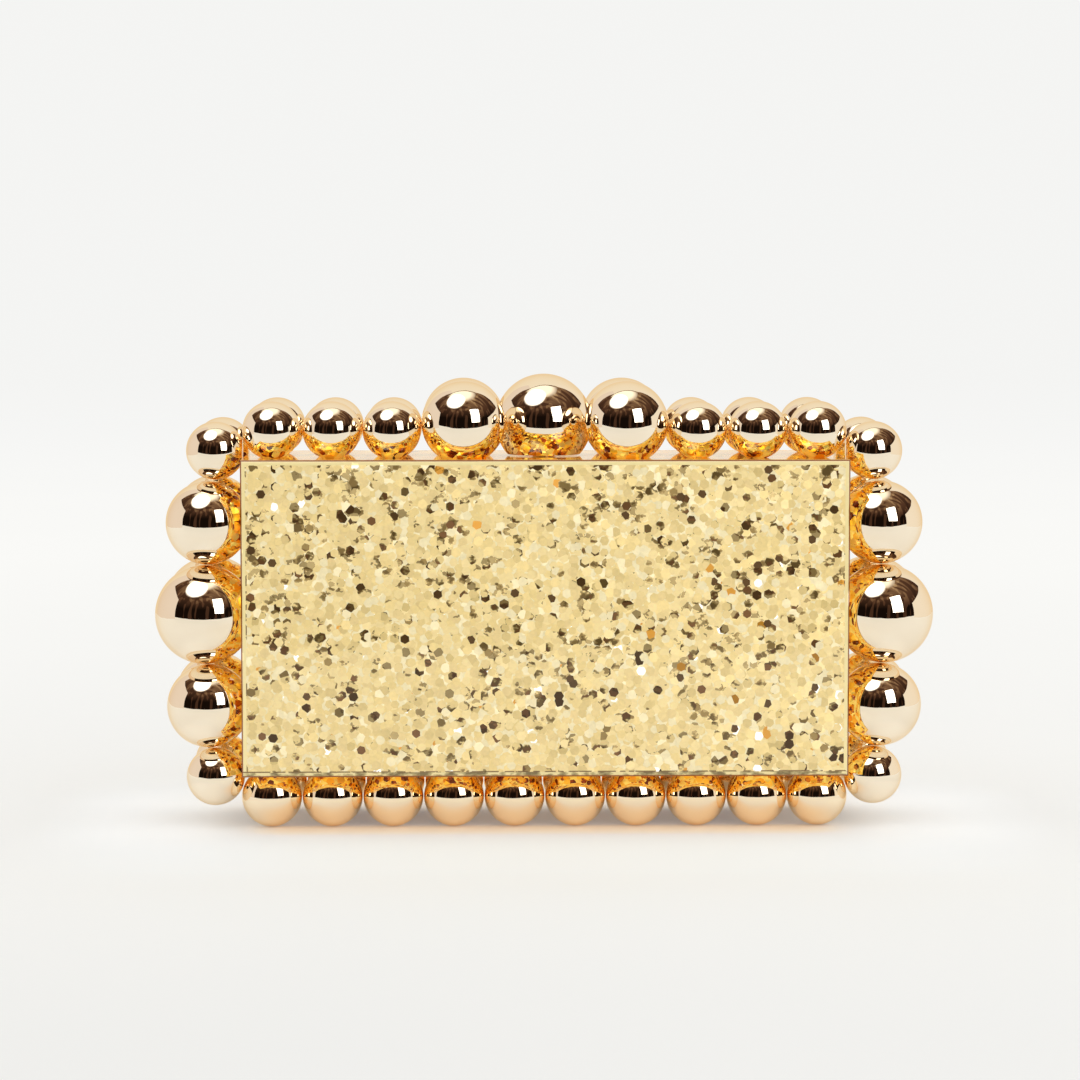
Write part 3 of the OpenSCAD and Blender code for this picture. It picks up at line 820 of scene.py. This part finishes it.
def facing_card(name, place, size, material, sides=4):
    """A card that faces the bag: a rectangle, or a disc if it has many sides."""
    width, height = size
    centre = towards(*place)
    away = (centre - BAG_MIDDLE).normalized()
    right = away.cross(Vector((0, 0, 1))).normalized()
    up = right.cross(away)
    start = math.pi / sides
    grow = 1 / math.cos(start) if sides == 4 else 1
    corners = []
    for i in range(sides):
        angle = start + 2 * math.pi * i / sides
        across = right * width / 2 * math.cos(angle) * grow
        corners.append(centre + across + up * height / 2 * math.sin(angle) * grow)
    return card(name, corners, material)


def soft_card_material(name, colour, strength, centre, core, reach):
    """Light that is even within a distance of a point and fades out at its reach."""
    material, tree, glow, out = emitter(name, colour, strength)
    ends = {0: here(tree), 1: tuple(centre)}
    away = add(tree, "ShaderNodeVectorMath", ends, operation="DISTANCE").outputs["Value"]
    fade = eased(tree, away, core, reach, 1.0, 0.0)
    clear = add(tree, "ShaderNodeBsdfTransparent")
    both = add(tree, "ShaderNodeMixShader", {0: fade, 1: clear.outputs[0], 2: glow.outputs[0]})
    link(tree, out, {"Surface": both.outputs[0]})
    return material


def room_material():
    """The dim room in front of and over the set: nearly black with upright posts at eye level,
    and lighter with slanting beams towards the ceiling."""
    material, tree, glow, _ = emitter("dim_room", (0, 0, 0, 1), 1.0)
    place = here(tree)
    upright = vectors(tree, "MULTIPLY", place, (3.2, 3.2, 0.25))
    posts = map_range(tree, noise_at(tree, upright, 1.0, detail=0.0), 0.56, 0.60, 0.0, 0.22)
    beams = vectors(tree, "MULTIPLY", place, (0.5, 2.6, 0.6))
    slats = map_range(tree, noise_at(tree, beams, 1.0, detail=1.0), 0.50, 0.58, 0.0, 0.30)
    lift = map_range(tree, xyz(tree, place)["Z"], 0.7, 2.3)
    level = maths(tree, "ADD", product(tree, lift, maths(tree, "ADD", slats, 0.42)), posts)
    tone = ramp(tree, level, [
        (0.0, rgb(22, 14, 10)), (0.35, rgb(84, 58, 44)), (0.7, rgb(146, 116, 88)),
        (1.0, rgb(196, 168, 132)),
    ])
    link(tree, glow, {"Color": tone})
    return material


def make_room():
    mesh_data = bmesh.new()
    bmesh.ops.create_icosphere(mesh_data, subdivisions=5, radius=ROOM_RADIUS)
    mesh = bpy.data.meshes.new("room")
    mesh_data.to_mesh(mesh)
    mesh_data.free()
    mesh.materials.append(room_material())
    room = add_to_scene("room", mesh)
    glossy_only(room)


# Soft-edged areas in the middle of the table, in metres, where light is painted: how far to each
# side they are full and where they end, and from front to back where they start, are full, are past
# full and end.
# Ahead and aside are painted fill light that lifts the bag's shadow, and close is a painted warm
# glow at the bag's foot, in place of light bounced off the gold
LIGHT_POOL_AHEAD = (0.085, 0.14), (-0.11, -0.042, 0.03, 0.09)
LIGHT_POOL_ASIDE = (0.100, 0.135), (-0.060, -0.020, 0.02, 0.06)
WARM_GLOW_CLOSE = (0.066, 0.082), (-0.034, -0.021, -0.0175, -0.011)
# What is left of the painted warm glow under the bag
WARM_GLOW_LEFT = 0.12


def painted_pool(tree, place, area, left=0.0):
    """1 in an area of the table where light is painted, fading out over its edges."""
    (full, end), (rise, risen, fall, fallen) = area
    parts = xyz(tree, place)
    wide = eased(tree, maths(tree, "ABSOLUTE", parts["X"]), full, end, 1.0, 0.0)
    front = eased(tree, parts["Y"], rise, risen)
    return product(tree, wide, front, eased(tree, parts["Y"], fall, fallen, 1.0, left))


def floor_material():
    """Matt white table top that glows faintly all over. Painted shade darkens it towards the viewer
    and painted light brightens it further off;
    painted pools of fill light lie beside and in front of the bag, and a painted warm glow, in both
    its colour and its light, at the bag's foot. Far behind the bag it fades into the backdrop."""
    material, tree, shader = new_material("pale_table_with_painted_light")
    place = here(tree)
    parts = xyz(tree, place)
    across, depth = maths(tree, "ABSOLUTE", parts["X"]), parts["Y"]
    length = add(tree, "ShaderNodeVectorMath", {0: place}, operation="LENGTH").outputs["Value"]
    cloud = noise_at(tree, place, 3.0)
    tone = ramp(tree, cloud, [(0.3, (0.925, 0.922, 0.912, 1)), (0.7, (0.935, 0.932, 0.922, 1))])
    # painted shade towards the viewer, and painted light further off
    dim = eased(tree, depth, -0.32, -0.02, 0.91, 1.0)
    tone = shaded(tree, tone, product(tree, dim, eased(tree, length, 0.10, 1.0, 0.99, 1.05)))
    # painted light: pools of fill light beside and ahead of the bag, and a painted warm glow at its
    # foot
    beside = eased(tree, across, 0.072, 0.088)
    pool_aside = product(tree, painted_pool(tree, place, LIGHT_POOL_ASIDE), beside)
    under_bag = map_range(tree, depth, 0.02, 0.04, 1.0, 0.0)
    warm_glow = product(tree, painted_pool(tree, place, WARM_GLOW_CLOSE, WARM_GLOW_LEFT), under_bag)
    pool_ahead = painted_pool(tree, place, LIGHT_POOL_AHEAD)
    tone = mix(tree, warm_glow, tone, rgb(248, 238, 222))
    # the table's faint glow, with painted light in the pools and the painted warm glow
    painted_light = mix(tree, pool_ahead, (0.065, 0.065, 0.064, 1), (0.105, 0.130, 0.160, 1))
    painted_light = mix(tree, pool_aside, painted_light, (0.170, 0.180, 0.190, 1))
    painted_light = mix(tree, warm_glow, painted_light, (0.170, 0.120, 0.088, 1))
    far = eased(tree, length, 0.5, 2.6)
    haze = mix(tree, map_range(tree, length, 1.4, 3.8), (0.925, 0.925, 0.913, 1), BACKDROP)
    link(tree, shader, {
        "Base Color": mix(tree, far, tone, (0.0, 0.0, 0.0, 1)),
        "Emission Color": mix(tree, far, painted_light, haze),
    })
    set_sockets(shader, {
        "Emission Strength": 1.0, "Roughness": 0.9, "Specular IOR Level": 0.0,
    })
    clear = add(tree, "ShaderNodeBsdfTransparent").outputs[0]
    choices = {0: inside_front_half(tree), 1: shader.outputs[0], 2: clear}
    both = add(tree, "ShaderNodeMixShader", choices).outputs[0]
    link(tree, tree.nodes["Material Output"], {"Surface": both})
    return material


def inside_front_half(tree):
    """1 inside the front half, which sinks below the table as it swings open. The table is left
    out there, so that it doesn't cover the half's inside."""
    low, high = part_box("front_lining")
    place = here(tree, object=frame["nodes"]["front_face_panel"])
    away = vectors(tree, "ABSOLUTE", vectors(tree, "SUBTRACT", place, tuple((low + high) / 2)))
    room = (high - low) / 2 + Vector((0, LINING_GAP, 0))
    spare = xyz(tree, vectors(tree, "SUBTRACT", tuple(room), away))
    least = maths(tree, "MINIMUM", maths(tree, "MINIMUM", spare["X"], spare["Y"]), spare["Z"])
    return maths(tree, "GREATER_THAN", least, 0.0)


def make_floor():
    """A pale table. Reflections see its front edge, and past it the room."""
    material = floor_material()
    strips = {"floor": (TABLE_EDGE, TABLE_REACH), "floor_in_front": (-TABLE_REACH, TABLE_EDGE)}
    for name, (near, far) in strips.items():
        ends = [(-TABLE_REACH, near), (TABLE_REACH, near), (TABLE_REACH, far), (-TABLE_REACH, far)]
        strip = card(name, [(x, y, 0) for x, y in ends], material)
        strip.visible_glossy = name == "floor"


def wall_corners(x, near, far, near_top, far_top):
    """The corners of an upright card beside the bag, with a top that may slope."""
    return [(x, near, 0), (x, far, 0), (x, far, far_top), (x, near, near_top)]


def make_cards():
    """White walls beside, behind and over the bag, two softboxes and a pale patch of ceiling.
    The balls mirror them."""
    tints = {
        "left": (0.84, 0.745, 0.675, 1), "right": (0.93, 0.86, 0.76, 1),
        "rear": (0.92, 0.85, 0.72, 1),
    }
    papers = {side: emitter(f"{side}_paper", tint, 1.0)[0] for side, tint in tints.items()}
    x, back, top = CARD_X, CARD_BACK, CARD_TOP
    left_joint, right_joint = 0.22, 0.33
    walls = {
        "left_card": wall_corners(-x, CARD_FRONT, left_joint, 0.35, 0.47),
        "left_rear_card": wall_corners(-x, left_joint, back, top, top),
        "right_card": wall_corners(x, CARD_FRONT, right_joint, 0.24, 0.36),
        "right_rear_card": wall_corners(x, right_joint, back, top, top),
        "rear_card": [(-x, back, 0), (x, back, 0), (x, back, top), (-x, back, top)],
        "overhead_card": [(-x, 0.22, top), (x, 0.34, top), (x, back, top), (-x, back, top)],
    }
    for name, corners in walls.items():
        side = name.split("_")[0]
        glossy_only(card(name, corners, papers.get(side, papers["rear"])))
    middle = towards(*ROUND_PLACE)
    round_box = soft_card_material(
        "round_softbox", SOFTBOX_WHITE, SOFTBOX_STRENGTH, middle, ROUND_CORE, ROUND_REACH
    )
    glossy_only(facing_card("round_softbox", ROUND_PLACE, ROUND_SIZE, round_box, sides=32))
    tall_box = emitter("tall_softbox", SOFTBOX_WHITE, SOFTBOX_STRENGTH)[0]
    glossy_only(facing_card("tall_softbox", TALL_PLACE, TALL_SIZE, tall_box))
    over = Vector((-0.12, -0.03, CEILING))
    pale = soft_card_material("pale_ceiling", (1.0, 0.94, 0.82, 1), 1.35, over, 0.40, 0.85)
    outline = [(-0.8, -0.7), (0.6, -0.7), (0.6, 0.26), (-0.8, 0.17)]
    glossy_only(card("ceiling", [(x, y, CEILING) for x, y in outline], pale))


def area_light(name, place, size, power):
    light = bpy.data.lights.new(name, "AREA")
    light.size, light.energy = size, power
    obj = add_to_scene(name, light)
    obj.location = towards(*place)
    obj.rotation_euler = (obj.location - BAG_MIDDLE).to_track_quat("Z", "Y").to_euler()
    obj.visible_camera = obj.visible_glossy = False


def make_light():
    world = bpy.data.worlds.new("studio")
    world.use_nodes = True
    set_sockets(world.node_tree.nodes["Background"], {"Color": BACKDROP, "Strength": 1.0})
    bpy.context.scene.world = world
    area_light("key", ROUND_PLACE, 0.8, 0.2)
    area_light("fill", TALL_PLACE, 0.4, 0.4)


def make_camera():
    data = bpy.data.cameras.new("camera")
    data.sensor_width = SENSOR_WIDTH
    data.lens = LENS
    camera = add_to_scene("camera", data)
    camera.location = CAMERA_PLACE
    camera.rotation_euler = (math.radians(90 - CAMERA_DIP), 0, math.radians(-CAMERA_TURN))
    bpy.context.scene.camera = camera


def make_stage():
    make_room()
    make_floor()
    make_cards()
    make_light()
    bpy.context.scene.view_settings.view_transform = "Standard"
    bpy.context.scene.cycles.glossy_bounces = GLOSSY_BOUNCES


# ---- the bag ----

def make_case():
    """One glitter material for each face panel, and one for each pair of opposite walls."""
    flakes = flake_group()
    for half in HALVES:
        panel = f"{half}_face_panel"
        paint([panel], glitter_material(f"glitter_{half}_face", flakes, "Y", FACE_LOOK, panel))
    for axis, sides in (("Z", ("top", "bottom")), ("X", ("left", "right"))):
        material = glitter_material("glitter_" + "_and_".join(sides), flakes, axis, WALL_LOOK)
        paint([f"{half}_{side}_wall" for half in HALVES for side in sides], material)


def make_all_balls():
    plated = plated_material("champagne_plating", *CHAMPAGNE)
    warm_reflecting = plated_material("plating_painted_warmer", *WARM_REFLECTED_TONES)
    for half, body in HALVES.items():
        for group, seat in BALL_SEATS.items():
            # the bottom balls get a copy of the plating painted warmer, a painted reflection of the
            # warm table under the bag
            material = warm_reflecting if group == "bottom_small_balls" else plated
            make_balls(f"{half}_{group}", seat, material, body)
    make_balls("clasp_ball", "down", plated, "clasp")


def make_hardware():
    slots = {s["node"]: s["material_slot"] for s in frame["record"]["subparts"]}
    finishes = {"gilt_brass": gilt_material(), "steel": steel_material()}
    for slot, material in finishes.items():
        paint([n for n, s in slots.items() if s == slot], material)


def make_linings():
    flock = flock_material()
    for half, body in HALVES.items():
        make_lining(half, flock, body)


make_camera()
make_case()
make_all_balls()
make_hardware()
make_linings()
make_stage()
